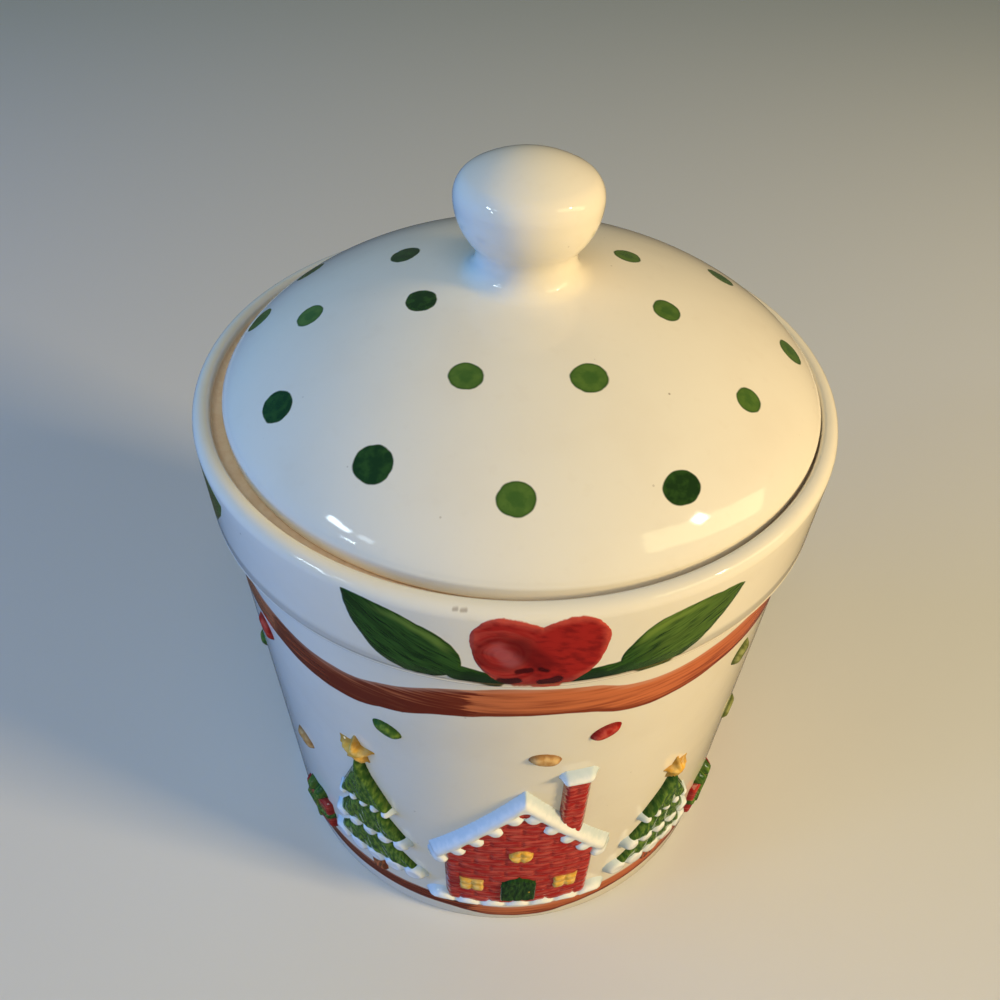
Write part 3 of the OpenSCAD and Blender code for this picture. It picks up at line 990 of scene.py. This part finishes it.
bm = bmesh.new()
pillow(bm, door, (-8, 3, 8, 25), 0, 2.75, 0.9, 1.5, planks)
stick("cottage_door", bm, door_paint)
bm = bmesh.new()
for middle, middle_z in ((-pane_x, pane_z), (pane_x, pane_z), (0, round_z)):
    corner = pane / 2 if middle == 0 else 0.4
    pillow(bm, lambda x, z: slab(x, z, middle, middle_z, pane / 2, pane / 2, corner),
           (middle - 5, middle_z - 5, middle + 5, middle_z + 5), 0, 2.8, 0.8, 1.5, bars)
# The door's knob
pillow(bm, lambda x, z: disc(x, z, 3.4, door_z + 8, 0.9), (1, 11, 6, 16), 0, 2.95, 0.8, 1.5)
stick("cottage_windows", bm, gold_paint)

# %% [markdown]
# ## Fir trees
#
# Each tree is three tiers of boughs on a trunk, every tier one layer above the one below.
# Needles are grooves that fan out from the tier's tip, snow lies along its lower edge, and a
# star ends the tree.

# %% Fir trees
fir_w = 36.0
tier_widths = [fir_w, fir_w * 0.78, fir_w * 0.54]
tier_tops = [1.5, 2.1, 2.55]
snow_tops = [2.1, 2.75, 2.95]


def tier(x, z, w, h):
    waist, waist_z = w * 0.16, h * 0.55
    return shape(x, z, [(0, h), (waist, waist_z), (w / 2, 0), (-w / 2, 0), (-waist, waist_z)])


def tier_snow(x, z, w):
    return joined(*[disc(x, z, share * w, 0, w / 9) for share in (-0.4, -0.2, 0, 0.2, 0.4)],
                  blend=0.8)


def star(x, z, r):
    reaches = [r, 0.45 * r] * 5
    turns = [math.radians(90 + 36 * i) for i in range(10)]
    return shape(x, z, [(q * math.cos(a), q * math.sin(a)) for q, a in zip(reaches, turns)])


def fir(side, turn, h):
    tier_h, star_r, trunk_h = h * 0.36, h * 0.07, h * 0.13
    rises = [trunk_h, h * 0.36, h * 0.58]

    def needles(tip_z, x, z):
        fan = np.arctan2(x, tip_z + 3 - z)
        return 0.22 * np.cos(fan * 26) + 0.08 * np.cos(fan * 61 + z * 0.8)

    boughs, snow = bmesh.new(), bmesh.new()
    for w, rise_z, top, snow_top in zip(tier_widths, rises, tier_tops, snow_tops):
        pillow(boughs, lambda x, z: tier(x, z - rise_z, w, tier_h),
               (-w / 2 - 2, rise_z - 2, w / 2 + 2, rise_z + tier_h + 2), turn, top, 2.0, 0.0,
               lambda x, z: needles(rise_z + tier_h, x, z))
        pillow(snow, lambda x, z: tier_snow(x, z - rise_z, w),
               (-w / 2 - 2, rise_z - 6, w / 2 + 2, rise_z + 6), turn, snow_top, 1.8, 0.3,
               soft_lumps)
    stick(f"{side}_fir_boughs", boughs, fir_paint, [f"{side}_fir_sprig"])
    stick(f"{side}_fir_snow", snow, snow_paint)
    bm = bmesh.new()
    trunk_w = fir_w / 6
    pillow(bm, lambda x, z: slab(x, z, 0, trunk_h / 2, trunk_w / 2, trunk_h / 2 + 1, 0.8),
           (-5, -3, 5, trunk_h + 3), turn, 1.3, 1.4, 0.0)
    stick(f"{side}_fir_trunk", bm, trunk_paint)
    bm = bmesh.new()
    pillow(bm, lambda x, z: star(x, z - h + star_r, star_r),
           (-8, h - 2 * star_r - 2, 8, h + 2), turn, 2.8, 1.6, 0.4)
    stick(f"{side}_fir_star", bm, gold_paint)


fir("left", -34, 84.0)
fir("right", 34, 66.0)

# %% [markdown]
# ## Parcels
#
# Two wrapped parcels stand on the snow line beside the trees, each with a crossed ribbon and
# a bow.

# %% Parcels
parcel_w, parcel_h, parcel_turn = 15.0, 17.0, 54
bow_r = parcel_w / 6
ribbon_w = parcel_w / 5


def wrap(x, z):
    return slab(x, z, 0, parcel_h / 2, parcel_w / 2, parcel_h / 2, 0.8)


def ribbon(x, z):
    return joined(slab(x, z, 0, parcel_h / 2, ribbon_w / 2, parcel_h / 2),
                  slab(x, z, 0, parcel_h / 2, parcel_w / 2, ribbon_w / 2), blend=0.3)


def bow(x, z):
    return disc(np.abs(x), z, 0.9 * bow_r, parcel_h + 0.7 * bow_r, bow_r)


def bow_fold(x, z):
    return -0.7 * groove(disc(np.abs(x), z, 1.1 * bow_r, parcel_h + 0.8 * bow_r, 0), 0.8)


wraps, ribbons = bmesh.new(), bmesh.new()
for degrees in (-parcel_turn, parcel_turn):
    pillow(wraps, wrap, (-9.5, -2, 9.5, parcel_h + 2), degrees, 2.1, 1.6)
    pillow(ribbons, ribbon, (-9.5, -2, 9.5, parcel_h + 2), degrees, 2.75, 1.2, 0.4)
    pillow(ribbons, bow, (-7, parcel_h - 3, 7, parcel_h + 7), degrees, 2.8, 1.4, 0.4, bow_fold)
stick("parcel_wraps", wraps, brick_paint, ["parcel_sprigs"])
stick("parcel_ribbons", ribbons, fir_paint)

# %% [markdown]
# ## Raised ovals
#
# Small ovals are scattered over the wall at all angles, as raised as a lentil and each dipped
# in one colour. They are pillows too, so they need no new tool.

# %% Raised ovals
oval_long, oval_short, oval_h = 4.4, 2.7, 1.3
# Colour, turn from the front in degrees, height in mm, and tilt in degrees
ovals = [("green", -26, 116, -28), ("red", 13.5, 121.5, 30), ("olive", 45.5, 122, 52),
         ("red", -58, 121, -50), ("green", -72, 92, 35), ("tan", -53, 72, -20),
         ("tan", 3, 112, -15), ("olive", 57, 74, 25), ("green", 72, 100, -35),
         ("tan", 84, 118, 20), ("red", 78, 52, -15), ("olive", 98, 84, 40),
         ("green", 112, 45, 20), ("red", 118, 112, -30), ("tan", 134, 78, 15),
         ("green", 150, 121, 40), ("olive", 155, 55, -40), ("red", 172, 92, 25),
         ("tan", -172, 44, -25), ("green", -162, 116, -20), ("olive", -148, 80, 30),
         ("red", -134, 50, 45), ("tan", -126, 112, -45), ("green", -108, 72, 15),
         ("olive", -92, 120, 30), ("red", -96, 40, -30)]
oval_colours = {
    "green": (leaf_green, leaf_light, leaf_dark), "red": (heart_red, heart_thin, dark_red),
    "olive": ((0.14, 0.16, 0.04), (0.30, 0.32, 0.12), leaf_dark),
    "tan": ((0.48, 0.25, 0.08), (0.64, 0.43, 0.20), trunk_brown)}
for shade, colours in oval_colours.items():
    bm = bmesh.new()
    for _, degrees, height, tilt in (oval for oval in ovals if oval[0] == shade):
        a, middle_z = math.radians(tilt), height - ground_z
        ca, sa = math.cos(a), math.sin(a)

        def oval_inside(x, z):
            along, across = x * ca + (z - middle_z) * sa, (z - middle_z) * ca - x * sa
            # An ellipse's distance, near enough: how far out it is over how fast that grows
            far = np.hypot(along / oval_long, across / oval_short) + 1e-6 * oval_short
            growth = np.hypot(along / oval_long ** 2, across / oval_short ** 2) + 1e-6
            return far * (far - 1) / growth

        pillow(bm, oval_inside, (-6.5, middle_z - 6.5, 6.5, middle_z + 6.5), degrees, oval_h, 2.2)
    paint = painted(f"oval_{shade}", *colours, (2.0, 2.0), 0.9)
    stick(f"{shade}_ovals", bm, paint)

# %% [markdown]
# ## Floor and light
#
# The jar stands on a pale floor in a pale room. Glaze shows its light as shapes, so there are
# two kinds of lamp: wide glows light the clay and are never mirrored, and small panes and one
# slanting wall are what the glaze mirrors, as windows. The left is cool, the right is warm.

# %% Floor and light
bm = bmesh.new()
bmesh.ops.create_grid(bm, x_segments=1, y_segments=1, size=3.0)
floor_mesh = bpy.data.meshes.new("floor")
bm.to_mesh(floor_mesh)
bm.free()
floor = add_object("floor", floor_mesh)
floor_paint = bpy.data.materials.new("floor_paint")
floor_paint.use_nodes = True
floor_shader = floor_paint.node_tree.nodes["Principled BSDF"]
floor_shader.inputs["Base Color"].default_value = (0.66, 0.66, 0.65, 1)
floor_shader.inputs["Roughness"].default_value = 0.6
floor_mesh.materials.append(floor_paint)
# The glaze mirrors the dim room under the jar and not the bright floor, so paint stays deep
floor.visible_glossy = False


def lamp(name, degrees, elevation, size, power, colour, distance=1.5, roll=0):
    """A rectangle of light that faces the jar from a turn (0 is in front) and an elevation."""
    data = bpy.data.lights.new(name, "AREA")
    data.shape = "RECTANGLE"
    data.size, data.size_y = size
    data.energy = power
    data.color = colour
    a, e = math.radians(degrees) + jar_turn, math.radians(elevation)
    facing = Vector((math.sin(a) * math.cos(e), -math.cos(a) * math.cos(e), math.sin(e)))
    obj = add_object(name, data)
    obj.location = facing * distance + Vector((0, 0, jar_middle_z * MM))
    obj.rotation_euler = (-facing).to_track_quat("-Z", "Y").to_euler()
    obj.rotation_euler.rotate_axis("Z", math.radians(roll))
    return obj


jar_middle_z = 120
window_blue = (0.75, 0.90, 1.0)
for wide in (lamp("cool_glow", -80, 8, (0.9, 0.6), 14, (0.0, 0.21, 1.0)),
             lamp("warm_glow", 70, 20, (0.3, 0.3), 21.5, (1.0, 0.74, 0.36)),
             lamp("high_glow", 0, 60, (0.9, 0.9), 6.2, (1.0, 0.93, 0.84))):
    wide.visible_glossy = False
lamp("cool_pane_high", -64, 30.5, (0.22, 0.09), 1.6, window_blue)
lamp("cool_pane_low", -56, 22, (0.12, 0.05), 0.6, window_blue)
lamp("cool_pane_pale", -53, 32, (0.13, 0.10), 0.25, window_blue)
lamp("warm_pane", 73, 37, (0.09, 0.11), 0.9, (1.0, 0.97, 0.92))
warm_wall = lamp("warm_wall", 73, 31, (1.15, 0.30), 3.6, (1.0, 0.95, 0.50), 1.52, -36)
warm_wall.visible_diffuse = False

# The camera sees a pale room, and the glaze a dim one: teal at the left, brown at the right
world = bpy.data.worlds.new("room")
world.use_nodes = True
world.node_tree.nodes.clear()
facing = Wire(world.node_tree.nodes.new("ShaderNodeTexCoord").outputs["Generated"])
sideways, _, height = axes(facing)
sky = mix(rise(sideways, -0.9, 0.1), (0.03, 0.22, 0.23), (0.13, 0.12, 0.09))
sky = mix(rise(sideways, 0.0, 0.9), sky, (0.12, 0.09, 0.06))
sky = mix(rise(height, -0.3, 0.1), (0.05, 0.05, 0.05), sky)
seen = sky.node("ShaderNodeLightPath")
sky = mix(seen, sky, (0.62, 0.62, 0.61))
room = sky.node("ShaderNodeBackground", sockets={"Color": sky})
sky.node("ShaderNodeOutputWorld", sockets={"Surface": room})
bpy.context.scene.world = world
bpy.context.scene.view_settings.view_transform = "Standard"
